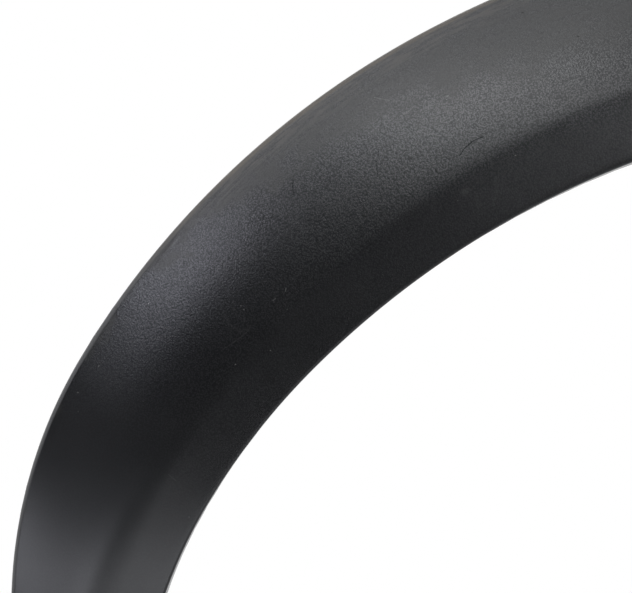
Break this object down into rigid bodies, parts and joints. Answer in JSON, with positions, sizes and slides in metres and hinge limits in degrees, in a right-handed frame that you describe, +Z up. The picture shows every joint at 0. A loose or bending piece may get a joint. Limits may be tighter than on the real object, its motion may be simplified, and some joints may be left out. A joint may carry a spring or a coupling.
{
  "type": "wheel arch trim",
  "caption": "Arched black plastic trim that covers the edge of a car's wheel opening, with push-in clips and screw lugs on its back.",
  "frame": {"origin": "on the axis of the locating pin at the crown, in the plane of the lip that lies on the body side", "axes": "+X along the car and the arch's span, +Y inboard along the locating pin, +Z up"},
  "size_m": [0.8689, 0.0536, 0.4835],
  "materials": {
    "black_plastic": "fine-grained satin",
    "nylon": "natural nylon"
  },
  "bodies": {
    "root": {"arch_moulding": "black_plastic", "retaining_clips": "nylon"}
  },
  "joints": []
}
